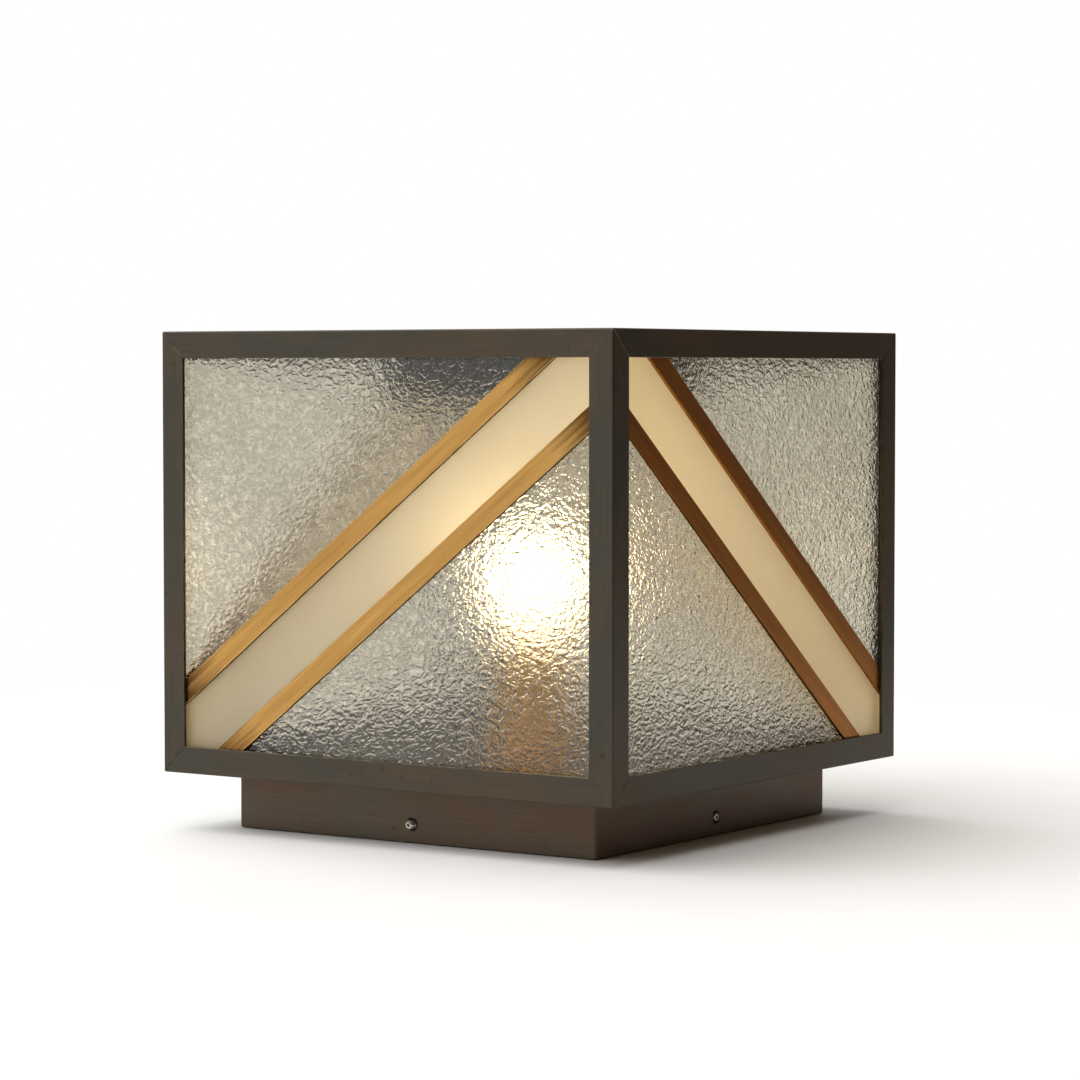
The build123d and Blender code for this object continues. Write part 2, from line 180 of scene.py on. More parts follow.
def bump(tree, height, distance, strength=1.0):
    """Fine relief that is too small to model."""
    inputs = {"Height": height, "Distance": distance, "Strength": strength}
    return add(tree, "ShaderNodeBump", None, inputs).outputs[0]


def screen_colour(red, green, blue):
    """A colour as it is read off a screen, 0 to 255, in the linear values that shaders take."""
    return (*Color((red / 255, green / 255, blue / 255)).from_srgb_to_scene_linear(), 1.0)


print("a mid bronze in linear values:", [round(part, 3) for part in screen_colour(84, 76, 66)])

# %% [markdown]
# The studio is plain: a pale floor, one very wide sun for an even shadow, and a sky that is brighter
# on the left of the camera than on the right, so that the two sides of the box part in tone. The
# gradient is read from the direction of the ray. The floor stays small, because metal mirrors what
# lies near the horizon and a wide white floor would light both sides alike. The camera itself sees
# plain white behind the light.

# %% Studio
bright_way = Vector((-0.97, -0.01, 0.12)).normalized()
bright_sky = (1.20, 1.19, 1.17, 1.0)
dark_sky = (0.120, 0.076, 0.036, 1.0)
white = (1.0, 1.0, 1.0, 1.0)
sky_blend = (-0.5, 0.8)
sun_power = 2.4
sun_width = radians(80)
sun_tilt = (radians(18), radians(-20), 0.0)
floor_reach = 0.8
floor_drop = 0.0005

scene.view_settings.view_transform = "Standard"
world = bpy.data.worlds.new("studio")
world.use_nodes = True
scene.world = world
sky_tree = world.node_tree
sky_tree.nodes.clear()
ray_way = add(sky_tree, "ShaderNodeTexCoord").outputs["Generated"]
sky_share = span(sky_tree, along(sky_tree, ray_way, bright_way), *sky_blend)
sky_tone = mix(sky_tree, sky_share, dark_sky, bright_sky)
sky_light = add(sky_tree, "ShaderNodeBackground", None, {"Color": sky_tone, "Strength": 1.0}).outputs[0]
white_light = add(sky_tree, "ShaderNodeBackground", None, {"Color": white, "Strength": 1.0}).outputs[0]
seen_share = add(sky_tree, "ShaderNodeLightPath").outputs["Is Camera Ray"]
sky_parts = {0: seen_share, 1: sky_light, 2: white_light}
sky_mix = add(sky_tree, "ShaderNodeMixShader", None, sky_parts).outputs[0]
add(sky_tree, "ShaderNodeOutputWorld", None, {"Surface": sky_mix})

sun_data = bpy.data.lights.new("wide_sun", "SUN")
sun_data.energy = sun_power
sun_data.angle = sun_width
sun = bpy.data.objects.new("wide_sun", sun_data)
sun.rotation_euler = sun_tilt
scene.collection.objects.link(sun)

floor_shape = bmesh.new()
bmesh.ops.create_grid(floor_shape, x_segments=1, y_segments=1, size=floor_reach)
floor_mesh = bpy.data.meshes.new("pale_floor")
floor_shape.to_mesh(floor_mesh)
floor_shape.free()
floor = bpy.data.objects.new("pale_floor", floor_mesh)
floor.location.z = bare_box[0].z - floor_drop
scene.collection.objects.link(floor)
print("sky from", dark_sky[:3], "to", bright_sky[:3], "and the floor at", round(floor.location.z, 4))

# %% [markdown]
# Every finish starts from one shader. What is the same all over is set on the shader itself, and what
# changes over the surface is linked to it. Patterns read Object coordinates: each piece stands at the
# origin, so those are metres in the frame, and a pattern keeps its true scale on every piece.
# The commonest finish is two close colours in clouds, and the floor is the first to use it.

# %% How a finish starts
finer = 6


def start_finish(name, constants):
    """A new finish: the material, its tree, its shader and the place that patterns read."""
    material = bpy.data.materials.new(name)
    material.use_nodes = True
    tree = material.node_tree
    shader = tree.nodes["Principled BSDF"]
    for socket, value in constants.items():
        shader.inputs[socket].default_value = value
    place = add(tree, "ShaderNodeTexCoord").outputs["Object"]
    return material, tree, shader, place


def feed(tree, shader, sources):
    """Link what changes over the surface to the shader."""
    for socket, source in sources.items():
        tree.links.new(source, shader.inputs[socket])


def mottled(name, pale, dark, grain, roughness, relief, constants):
    """Two close colours in clouds, with a finer pattern for gloss and relief."""
    material, tree, shader, place = start_finish(name, constants)
    broad = clouds(tree, place, grain, detail=3.0, roughness=0.6)
    fine = clouds(tree, place, [finer * cells for cells in grain])
    sources = {
        "Base Color": mix(tree, span(tree, broad, *middle_noise), pale, dark),
        "Roughness": span(tree, fine, *most_noise, *roughness),
        "Normal": bump(tree, fine, relief),
    }
    feed(tree, shader, sources)
    return material


pale_floor = mottled(
    "pale_floor",
    pale=screen_colour(240, 240, 239),
    dark=screen_colour(236, 236, 235),
    grain=even(3.0),
    roughness=(0.75, 0.9),
    relief=0.00005,
    constants={"Specular IOR Level": 0.2},
)
floor_mesh.materials.append(pale_floor)
print("finishes so far:", pale_floor.name)

# %% [markdown]
# The cage is brass sheet treated to a dark bronze: grey-olive with browner patches, brushed along
# each bar. Brushing is noise stretched hard along one axis, so each axis has its own finish.
# The arrises are paler, partly from patina rubbed off by handling and partly as a painted highlight;
# the bevelled edges further down take that second finish.
# Round the screw holes of the plinth the finish paints a dark ring as the shade of each bore.

# %% Bronze
brush_across = 1500.0
brush_along = 18.0
patch_across = 26.0
patch_along = 9.0
patch_blend = 0.11
spot_colour = screen_colour(34, 30, 27)
spot_blend = (0.66, 0.80)
spot_share = 0.45
hole_shade_colour = screen_colour(12, 11, 10)
ring_radius = 0.0042
ring_blend = 0.0004


def brushed_grain(axes, across, lengthways):
    """Cells to a metre, few along the brushed axes and many across."""
    return [lengthways if axis in axes else across for axis in range(3)]


def painted_hole_shade(tree, place, height):
    """Share of the dark rings painted as shade round the screw holes, in the middle of each side at one
    height.
    """
    parts = add(tree, "ShaderNodeSeparateXYZ", None, {0: place}).outputs
    off_side = [arithmetic(tree, "ABSOLUTE", parts[axis]) for axis in range(2)]
    sideways = arithmetic(tree, "MINIMUM", *off_side)
    upward = arithmetic(tree, "SUBTRACT", parts[2], height)
    squares = [arithmetic(tree, "MULTIPLY", offset, offset) for offset in (sideways, upward)]
    from_hole = arithmetic(tree, "SQRT", arithmetic(tree, "ADD", *squares))
    return span(tree, from_hole, ring_radius - ring_blend, ring_radius, 1.0, 0.0)


def patina_bronze(name, axes, grey, brown, lean, hole_height=None):
    """Dark bronze brushed along the given axes; a higher lean shows more of the grey."""
    material, tree, shader, place = start_finish(name, {"Metallic": 0.72, "Specular IOR Level": 0.45})
    brushing = clouds(tree, place, brushed_grain(axes, brush_across, brush_along), 3.0, 0.6)
    patches = clouds(tree, place, brushed_grain(axes, patch_across, patch_along), 4.0, 0.62)
    spots = clouds(tree, place, even(210.0))
    tone = span(tree, brushing, *most_noise, 0.84, 1.14)
    base = mix(tree, span(tree, patches, lean - patch_blend, lean + patch_blend), grey, brown)
    marked = mix(tree, span(tree, spots, *spot_blend, 0.0, spot_share), base, spot_colour)
    # A dark ring round each screw hole: painted shade of the bore.
    if hole_height:
        marked = mix(tree, painted_hole_shade(tree, place, hole_height), marked, hole_shade_colour)
    sources = {
        "Base Color": mix(tree, 1.0, marked, tone, "MULTIPLY"),
        "Roughness": span(tree, arithmetic(tree, "ADD", brushing, patches), 0.7, 1.3, 0.34, 0.52),
        "Normal": bump(tree, brushing, 0.00003, 0.6),
    }
    feed(tree, shader, sources)
    return material


def worn_and_highlit_bronze(name, worn_highlit_colour, patina):
    """Arrises where the patina is worn through here and there, and painted paler also as a highlight."""
    material, tree, shader, place = start_finish(name, {"Metallic": 0.85, "Specular IOR Level": 0.5})
    wear = clouds(tree, place, even(120.0), 4.0, 0.65)
    sources = {
        "Base Color": mix(tree, span(tree, wear, 0.38, 0.62), patina, worn_highlit_colour),
        "Roughness": span(tree, wear, *middle_noise, 0.46, 0.30),
        "Normal": bump(tree, wear, 0.00005, 0.5),
    }
    feed(tree, shader, sources)
    return material


bronze_grey = screen_colour(67, 64, 55)
bronze_brown = screen_colour(80, 67, 53)
bronze_by_axis = [
    patina_bronze(f"bronze_brushed_{letter}", (axis,), bronze_grey, bronze_brown, lean=0.53)
    for axis, letter in enumerate("xyz")
]
# Paler arrises: worn patina and a painted highlight.
bronze_edge_wear_and_highlight = worn_and_highlit_bronze("bronze_edge_worn_and_highlit", screen_colour(108, 99, 84), screen_colour(58, 53, 46))
screw_low, screw_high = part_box("set_screw_front")
screw_height = (screw_low.z + screw_high.z) / 2
plinth_grey = screen_colour(83, 76, 65)
plinth_brown = screen_colour(91, 74, 60)
level_axes = (0, 1)
plinth_bronze = patina_bronze(
    "bronze_plinth_brushed", level_axes, plinth_grey, plinth_brown, lean=0.48, hole_height=screw_height
)
print("bronze finishes:", [finish.name for finish in bronze_by_axis], plinth_bronze.name)

# %% [markdown]
# No solid of the frame is changed. A piece that needs more shape is worked on as a copy, whose loose
# triangles are merged and whose flat faces are joined, so that its true edges can be found. The copy
# carries modifiers for a moment, becomes a plain mesh and then stands for the solid, on the same body.

# %% Copies that stand for solids
merge_reach = 1e-6
flat_angle = radians(1)


def cad_copy(node):
    """A piece as an editable shape, its loose triangles merged and its flat faces joined."""
    shape = bmesh.new()
    shape.from_mesh(frame["nodes"][node].data)
    bmesh.ops.remove_doubles(shape, verts=shape.verts, dist=merge_reach)
    bmesh.ops.dissolve_limit(shape, angle_limit=flat_angle, verts=shape.verts, edges=shape.edges)
    return shape


def as_mesh(shape, name):
    """An editable shape as a plain mesh; the shape goes."""
    mesh = bpy.data.meshes.new(name)
    shape.to_mesh(mesh)
    shape.free()
    return mesh


def work_piece(name, mesh):
    """A passing object that carries modifiers."""
    workpiece = bpy.data.objects.new(name, mesh)
    scene.collection.objects.link(workpiece)
    return workpiece


def realised(workpiece):
    """The plain mesh that the modifiers give; the work piece goes."""
    depsgraph = bpy.context.evaluated_depsgraph_get()
    evaluated = workpiece.evaluated_get(depsgraph)
    mesh = bpy.data.meshes.new_from_object(evaluated, preserve_all_data_layers=True, depsgraph=depsgraph)
    bpy.data.objects.remove(workpiece)
    return mesh


def settle(name, mesh, node, replaced=True):
    """Show a finished mesh as a piece that rides with a node's body, and mostly stands for that node."""
    mesh.name = name
    piece = bpy.data.objects.new(name, mesh)
    scene.collection.objects.link(piece)
    source = frame["nodes"][node]
    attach(piece, source["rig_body"])
    if replaced:
        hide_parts(node)
    return piece


plinth_shape = cad_copy("plinth")
print("the plinth has", len(plinth_shape.faces), "faces once its flat ones are joined")
plinth_shape.free()

# %% [markdown]
# A folded metal bar never has a knife edge: a round of a few tenths of a millimetre catches a thin
# line of light, and at the mitres two such rounds meet in the fine groove that shows the joint.
# A bevel on the copy makes the round. It must not slide along the seams between joined faces, or it
# would run out into a sliver where a seam touches a hole. Normals weighted by area keep the broad
# faces flat, so that only the rounds turn the light.

# %% Softened edges
edge_angle = radians(30)
flank_slope = 0.5
bar_edge = 0.0003
plinth_edge = 0.0004


def soften(node, width, face_finish, edge_finish, flank_finish=None, outward=None):
    """Round the edges of a solid by a bevel with a finish of its own; flanks may have one too."""
    shape = cad_copy(node)
    if flank_finish:
        for face in shape.faces:
            face.material_index = 2 if abs(face.normal.dot(outward)) < flank_slope else 0
    mesh = as_mesh(shape, node)
    for finish in (face_finish, edge_finish, flank_finish):
        if finish:
            mesh.materials.append(finish)
    mesh.shade_smooth()
    workpiece = work_piece(node, mesh)
    bevel = workpiece.modifiers.new("edges", "BEVEL")
    bevel.width = width
    bevel.segments = 2
    bevel.limit_method = "ANGLE"
    bevel.angle_limit = edge_angle
    bevel.use_clamp_overlap = False
    bevel.loop_slide = False
    bevel.material = 1
    flat = workpiece.modifiers.new("flat_faces", "WEIGHTED_NORMAL")
    flat.mode = "FACE_AREA"
    flat.weight = 100
    return settle(f"{node}_softened", realised(workpiece), node)


bars = [node for node in frame["nodes"] if "rail" in node or node.startswith("post")]
for node in bars:
    low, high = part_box(node)
    reach = high - low
    longest = max(range(3), key=lambda axis: reach[axis])
    soften(node, bar_edge, bronze_by_axis[longest], bronze_edge_wear_and_highlight)
soften("plinth", plinth_edge, plinth_bronze, bronze_edge_wear_and_highlight)
print("softened bars:", len(bars), "and the plinth")

# %% [markdown]
# The band crosses each side on a slant, and the brass beside it is brushed along that slant. The slant
# could be typed in, but it is safer to read it from the opal pane itself: its longest edge.

# %% The slant of the band
side_out = {
    "front": Vector((0, -1, 0)),
    "right": Vector((1, 0, 0)),
    "back": Vector((0, 1, 0)),
    "left": Vector((-1, 0, 0)),
}


def band_way(side):
    """Direction of the band on one side, from the longest edge of its opal pane."""
    shape = cad_copy(f"opal_band_{side}")
    edge = max(shape.edges, key=lambda one: one.calc_length())
    way = (edge.verts[1].co - edge.verts[0].co).normalized()
    shape.free()
    return way if way.z > 0 else -way


post_low, post_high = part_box("post_front_right")
body_low = post_low.z
body_high = post_high.z
body_middle = (body_low + body_high) / 2
band_low, band_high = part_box("opal_band_front")
band_half = (band_high.x - band_low.x) / 2
front_way = band_way("front")
print("the band rises at", round(degrees(atan2(front_way.z, front_way.x)), 2), "degrees")

# %% [markdown]
# The bars that edge the band are brass, brushed lengthways and browner towards the ends. They are
# golden on the front and the back; on the right they are painted darker and browner as shade, and on
# the left in between. On the front and the back the flanks are painted dark as shade, which draws the
# thin line along the opal, and the edges are painted bright as a highlight. The other two sides have
# one brass all over. The pattern needs a direction, so each side has a finish of its own.

# %% Brass bars of the band
strand_grain = (16.0, 1500.0, 0.0)
streak_grain = (12.0, 260.0, 0.0)
ragged_reach = 0.01
brown_from = 0.86 * band_half
brown_to = 1.08 * band_half
brown_least = 0.05
brown_end = screen_colour(86, 57, 29)
strip_edge = 0.00025


def brushed_brass(name, way, outward, bright, dull, ends):
    """Brass of two close tones brushed along the band, browned towards both ends by the given share."""
    material, tree, shader, place = start_finish(name, {"Metallic": 1.0})
    centred = vector_sum(tree, "SUBTRACT", place, (0.0, 0.0, body_middle))
    lengthways = along(tree, centred, way)
    across = along(tree, centred, way.cross(outward))
    strand_place = add(tree, "ShaderNodeCombineXYZ", None, {0: lengthways, 1: across}).outputs[0]
    strands = clouds(tree, strand_place, strand_grain, 3.0, 0.6)
    streaks = clouds(tree, strand_place, streak_grain, 3.0, 0.6)
    end_reach = arithmetic(tree, "ABSOLUTE", lengthways)
    shift = span(tree, streaks, *most_noise, -ragged_reach, ragged_reach)
    browned = span(tree, arithmetic(tree, "ADD", end_reach, shift), brown_from, brown_to, brown_least, ends)
    tones = mix(tree, span(tree, streaks, 0.35, 0.7), bright, dull)
    aged = mix(tree, browned, tones, brown_end)
    sources = {
        "Base Color": mix(tree, 1.0, aged, span(tree, strands, *most_noise, 0.80, 1.12), "MULTIPLY"),
        "Roughness": span(tree, strands, *most_noise, 0.30, 0.46),
        "Normal": bump(tree, strands, 0.00004, 0.6),
    }
    feed(tree, shader, sources)
    return material


# Flanks of the front and back bars: dark, as painted shade.
brass_flank_painted_shade = mottled(
    "brass_flank_shade_painted",
    pale=screen_colour(34, 25, 18),
    dark=screen_colour(22, 16, 13),
    grain=even(90.0),
    roughness=(0.6, 0.75),
    relief=0.00002,
    constants={"Metallic": 0.2, "Specular IOR Level": 0.25},
)
# Edges of the front and back bars: bright, as a painted highlight.
brass_edge_painted_highlight = mottled(
    "brass_edge_highlight_painted",
    pale=screen_colour(214, 180, 118),
    dark=screen_colour(150, 110, 60),
    grain=even(90.0),
    roughness=(0.22, 0.36),
    relief=0.00002,
    constants={"Metallic": 1.0},
)
# The right and left tones are the front brass painted darker and browner as shade, the left less so.
golden = (screen_colour(201, 157, 90), screen_colour(181, 136, 74), 0.95)
brass_shaded = (screen_colour(166, 107, 41), screen_colour(148, 94, 35), 0.2)
brass_half_shaded = (screen_colour(188, 141, 75), screen_colour(168, 122, 61), 0.6)
brass_tones = {"front": golden, "right": brass_shaded, "back": golden, "left": brass_half_shaded}
for side, outward in side_out.items():
    brass = brushed_brass(f"brass_brushed_{side}", band_way(side), outward, *brass_tones[side])
    edge, flank = (brass_edge_painted_highlight, brass_flank_painted_shade) if outward.y else (brass, brass)
    for row in ("upper", "lower"):
        soften(f"{row}_strip_{side}", strip_edge, brass, edge, flank, outward)
print("brass bars:", 2 * len(side_out), "beside bands that reach", round(2 * band_half, 4), "m across")

# %% [markdown]
# Some shapes repeat or follow a rule: the crinkles of the glass, the thread of a screw, the ribbons of
# the solar cells. Geometry trees make those. Each tree has named inputs for its sizes, ends by making
# its instances real and giving them their finish, and is run on a passing object. What comes out is
# kept as a plain mesh.

# %% How a geometry tree starts, ends and is used
def start_tree(name, inputs):
    """A geometry tree with named inputs; returns the tree and what it is given."""
    tree = bpy.data.node_groups.new(name, "GeometryNodeTree")
    tree.interface.new_socket("Geometry", in_out="INPUT", socket_type="NodeSocketGeometry")
    for label, kind in inputs.items():
        tree.interface.new_socket(label, in_out="INPUT", socket_type=f"NodeSocket{kind}")
    tree.interface.new_socket("Geometry", in_out="OUTPUT", socket_type="NodeSocketGeometry")
    return tree, tree.nodes.new("NodeGroupInput").outputs


def end_tree(tree, geometry, finish):
    """Make instances real, give them their finish and hand them out."""
    real = add(tree, "GeometryNodeRealizeInstances", None, {"Geometry": geometry}).outputs[0]
    painted = add(tree, "GeometryNodeSetMaterial", None, {"Geometry": real, "Material": finish}).outputs[0]
    add(tree, "NodeGroupOutput", None, {0: painted})


def grow(tree, start, values):
    """Run a tree on a mesh with the given sizes and return a plain mesh."""
    workpiece = work_piece(tree.name, start)
    modifier = workpiece.modifiers.new(tree.name, "NODES")
    modifier.node_group = tree
    for item in tree.interface.items_tree:
        if item.in_out == "INPUT" and item.name in values:
            modifier[item.identifier] = values[item.name]
    return realised(workpiece)


print("geometry trees so far:", len(bpy.data.node_groups))

# %% [markdown]
# The clear panes are rolled glass with a crinkled face, like bark: ridges a millimetre or two wide
# that wander and branch. A bump would do for one picture, but the relief is deep enough to show on
# the mesh itself, so a geometry tree makes it. It takes the finely cut outer face of a pane and sinks
# each point by a ridged pattern: noise has a middle value along winding lines, and those become the
# ridges. The face of the glass stays the highest level, so the pane never leaves its seat.

# %% The tree that crinkles a pane
level_stretch = (0.65, 0.65, 1.0)
large_share = 0.7
small_share = 0.3
smaller = 1.8


def ridges(tree, place, seed, cells, twist, width):
    """Lines where a noise passes its middle value, as ridges from 0 to 1."""
    inputs = {"Vector": place, "W": seed, "Scale": cells, "Detail": 1.0, "Distortion": twist}
    field = add(tree, "ShaderNodeTexNoise", {"noise_dimensions": "4D"}, inputs).outputs[0]
    off_middle = arithmetic(tree, "ABSOLUTE", arithmetic(tree, "SUBTRACT", field, 0.5))
    options = {"interpolation_type": "SMOOTHSTEP"}
    spread = {"Value": off_middle, "From Min": 0.0, "From Max": width, "To Min": 1.0, "To Max": 0.0}
    return add(tree, "ShaderNodeMapRange", options, spread).outputs[0]


def crinkles(tree, place, seed, cells):
    """Large ridges that run more level than upright, with small ones between them, from 0 to 1."""
    level = vector_sum(tree, "MULTIPLY", place, level_stretch)
    small_cells = arithmetic(tree, "MULTIPLY", cells, smaller)
    large = ridges(tree, level, seed, cells, twist=0.7, width=0.15)
    small = ridges(tree, place, seed, small_cells, twist=0.5, width=0.12)
    large_part = arithmetic(tree, "MULTIPLY", large, large_share)
    small_part = arithmetic(tree, "MULTIPLY", small, small_share)
    return arithmetic(tree, "ADD", large_part, small_part)


crinkle_inputs = {
    "Ridge spacing": "Float",
    "Ridge height": "Float",
    "Outward": "Vector",
    "Seed": "Float",
    "Finish": "Material",
}
crinkle, given = start_tree("crinkled_pane", crinkle_inputs)
point = add(crinkle, "GeometryNodeInputPosition").outputs[0]
cells = arithmetic(crinkle, "DIVIDE", 1.0, given["Ridge spacing"])
relief = crinkles(crinkle, point, given["Seed"], cells)
below = arithmetic(crinkle, "SUBTRACT", relief, 1.0)
sink = arithmetic(crinkle, "MULTIPLY", below, given["Ridge height"])
sink_inputs = {0: given["Outward"], "Scale": sink}
sink_way = add(crinkle, "ShaderNodeVectorMath", {"operation": "SCALE"}, sink_inputs).outputs[0]
sunk_inputs = {"Geometry": given["Geometry"], "Offset": sink_way}
sunk = add(crinkle, "GeometryNodeSetPosition", None, sunk_inputs).outputs[0]
smooth = add(crinkle, "GeometryNodeSetShadeSmooth", None, {"Geometry": sunk}).outputs[0]
end_tree(crinkle, smooth, given["Finish"])
print("the tree of the crinkled pane has", len(crinkle.nodes), "nodes")

# %% [markdown]
# The glass itself is clear, a little warm and grey, with a faint change of tint and gloss. Along the
# ridges it is painted darker as shade, more on some sides than on others, so each side has its own finish.
# It repeats the ridges as a bump with the same seed, which keeps their flanks crisp where the mesh is
# too coarse for them.

# %% Crinkled glass
ridge_seed = 3.0
ridge_spacing = 0.0036
ridge_height = 0.00027
ridge_crispness = 0.4
# Painted shade along the ridges, a share for each side.
ridge_shade_shares = {"front": 0.48, "right": 0.3, "back": 0.46, "left": 0.4}
ridge_shade_colour = screen_colour(146, 140, 124)
ridge_shade_blend = (0.05, 0.6)
pale_glass = screen_colour(247, 245, 236)
warm_glass = screen_colour(241, 238, 227)


def crinkled_glass(name, ridge_shade_share):
    """Clear glass, a little warm and grey, with a share of painted shade along its ridges."""
    material, tree, shader, place = start_finish(name, {"Transmission Weight": 1.0, "IOR": 1.5})
    tint = clouds(tree, place, even(14.0), 3.0)
    ripple = clouds(tree, place, even(700.0), twist=0.5)
    relief = crinkles(tree, place, ridge_seed, 1 / ridge_spacing)
    clear = mix(tree, span(tree, tint, *middle_noise), pale_glass, warm_glass)
    sources = {
        "Base Color": mix(tree, span(tree, relief, *ridge_shade_blend, 0.0, ridge_shade_share), clear, ridge_shade_colour),
        "Roughness": span(tree, ripple, *most_noise, 0.01, 0.05),
        "Normal": bump(tree, relief, ridge_crispness * ridge_height),
    }
    feed(tree, shader, sources)
    return material


glass_by_side = {side: crinkled_glass(f"glass_crinkled_{side}", ridge_shade_shares[side]) for side in side_out}
print("glass finishes:", [glass.name for glass in glass_by_side.values()])

# %% [markdown]
# The tree runs on the outer face of each pane, cut into fine triangles. The walls and the flat back
# are added afterwards, so that light enters and leaves a real slab.

# %% Crinkled panes
glass_cuts = 379
facing = 0.99


def outer_face(node, outward):
    """The outer face of a pane as a mesh of its own, cut into fine triangles."""
    shape = cad_copy(node)
    inner = [face for face in shape.faces if face.normal.dot(outward) < facing]
    bmesh.ops.delete(shape, geom=inner, context="FACES")
    bmesh.ops.subdivide_edges(shape, edges=shape.edges, cuts=glass_cuts, use_grid_fill=True)
    return as_mesh(shape, node)


def close_back(mesh, outward, back):
    """Walls from the rim of a crinkled face to a flat back."""
    shape = bmesh.new()
    shape.from_mesh(mesh)
    rim = [edge for edge in shape.edges if edge.is_boundary]
    walls = bmesh.ops.extrude_edge_only(shape, edges=rim)["geom"]
    for vertex in walls:
        if isinstance(vertex, bmesh.types.BMVert):
            vertex.co += outward * (back - vertex.co.dot(outward))
    back_rim = [edge for edge in shape.edges if edge.is_boundary]
    bmesh.ops.edgeloop_fill(shape, edges=back_rim)
    bmesh.ops.recalc_face_normals(shape, faces=shape.faces)
    for edge in rim + back_rim:
        edge.smooth = False
    for face in shape.faces:
        face.smooth = True
    shape.to_mesh(mesh)
    shape.free()
    return mesh


for side, outward in side_out.items():
    for row in ("upper", "lower"):
        node = f"{row}_glass_{side}"
        pane_sizes = {
            "Ridge spacing": ridge_spacing,
            "Ridge height": ridge_height,
            "Outward": outward,
            "Seed": ridge_seed,
            "Finish": glass_by_side[side],
        }
        face = grow(crinkle, outer_face(node, outward), pane_sizes)
        back = min(corner.dot(outward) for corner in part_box(node))
        pane = settle(f"{node}_crinkled", close_back(face, outward, back), node)
print("each crinkled pane has", len(pane.data.polygons), "faces")

# %% [markdown]
# The band is opal glass: milky, smooth and lit from behind by the bulb. Part of it scatters light back
# like cream paint and part lets a very blurred view of the bulb through, which gives the hot spot on
# the line of sight. The light that wanders sideways in the milk is a faint emission, stronger higher
# up and to the right: a true scatter inside the pane costs much time for little gain.

# %% Opal band
globe_low, globe_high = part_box("bulb_globe")
bulb_radius = (globe_high.x - globe_low.x) / 2
band_gap = -band_low.y
glow_upward = (0.05, 0.14)
glow_rightward = (0.5, 1.5)
pale_milk = screen_colour(226, 217, 192)
warm_milk = screen_colour(221, 210, 185)

opal_constants = {
    "Emission Color": (1.0, 0.74, 0.38, 1.0),
    "Transmission Weight": 0.86,
    "IOR": 1.5,
    "Coat Weight": 0.35,
    "Coat Roughness": 0.08,
}
opal_glass, tree, shader, place = start_finish("glass_opal", opal_constants)
milk = clouds(tree, place, even(22.0), 4.0, 0.6)
upward = span(tree, along(tree, place, up_way), body_low, body_high, *glow_upward)
rightward = span(tree, along(tree, place, (1.0, 0.0, 0.0)), -band_gap, band_gap, *glow_rightward)
glow = arithmetic(tree, "MULTIPLY", upward, rightward)
opal_sources = {
    "Base Color": mix(tree, span(tree, milk, *middle_noise), pale_milk, warm_milk),
    "Roughness": span(tree, milk, *middle_noise, 0.54, 0.59),
    "Emission Strength": arithmetic(tree, "MULTIPLY", glow, span(tree, milk, *most_noise, 0.95, 1.05)),
    "Normal": bump(tree, milk, 0.00015, 0.3),
}
feed(tree, shader, opal_sources)
print("the bulb stands", round(band_gap * 1000, 1), "mm behind the face of the band")

# %% [markdown]
# Set screws clamp the plinth to its mounting plate. Each has a thread that winds along a path, and a
# spiral curve with a small profile swept along it is exactly that, so a geometry tree makes it.

# %% The tree that winds a thread
thread_inputs = {
    "Turns": "Float",
    "Pitch": "Float",
    "Radius": "Float",
    "Ridge": "Float",
    "Foot": "Vector",
    "Tilt": "Vector",
    "Finish": "Material",
}
thread, given = start_tree("wound_thread", thread_inputs)
spiral_inputs = {
    "Resolution": 24,
    "Rotations": given["Turns"],
    "Start Radius": given["Radius"],
    "End Radius": given["Radius"],
    "Height": arithmetic(thread, "MULTIPLY", given["Turns"], given["Pitch"]),
}
spiral = add(thread, "GeometryNodeCurveSpiral", None, spiral_inputs).outputs[0]
profile_inputs = {"Resolution": 6, "Radius": given["Ridge"]}
profile = add(thread, "GeometryNodeCurvePrimitiveCircle", None, profile_inputs).outputs[0]
swept_inputs = {"Curve": spiral, "Profile Curve": profile, "Fill Caps": True}
swept = add(thread, "GeometryNodeCurveToMesh", None, swept_inputs).outputs[0]
tilt = add(thread, "FunctionNodeEulerToRotation", None, {0: given["Tilt"]}).outputs[0]
placed_inputs = {"Geometry": swept, "Translation": given["Foot"], "Rotation": tilt}
placed = add(thread, "GeometryNodeTransform", None, placed_inputs).outputs[0]
rounded = add(thread, "GeometryNodeSetShadeSmooth", None, {"Geometry": placed}).outputs[0]
end_tree(thread, rounded, given["Finish"])
print("the tree of the thread has", len(thread.nodes), "nodes")

# %% [markdown]
# A set screw has no head, only a socket in its end. The plain core under the thread is the solid, drawn
# in a little, so that the wound thread brings the screw back to its own size. The thread stops two
# ridges short of each end, where a real screw has its chamfer.

# %% Set screws
thread_pitch = 0.0008
core_share = 0.86
screw_steel = mottled(
    "steel_screw_bright",
    pale=screen_colour(226, 222, 214),
    dark=screen_colour(176, 172, 166),
    grain=even(420.0),
    roughness=(0.16, 0.30),
    relief=0.00001,
    constants={"Metallic": 1.0},
)


def joined(meshes):
    """Several meshes as one."""
    shape = bmesh.new()
    for mesh in meshes:
        shape.from_mesh(mesh)
    mesh = meshes[0].copy()
    shape.to_mesh(mesh)
    shape.free()
    return mesh


def drawn_in(node, axis, share, finish):
    """A turned solid with its radius drawn in to a share, about its own axis."""
    low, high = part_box(node)
    middle = (low + high) / 2
    shape = cad_copy(node)
    for vertex in shape.verts:
        off_axis = vertex.co - middle
        off_axis -= axis * off_axis.dot(axis)
        vertex.co -= off_axis * (1 - share)
    for edge in shape.edges:
        edge.smooth = edge.calc_face_angle(pi) < edge_angle
    for face in shape.faces:
        face.smooth = True
    mesh = as_mesh(shape, node)
    mesh.materials.append(finish)
    return mesh


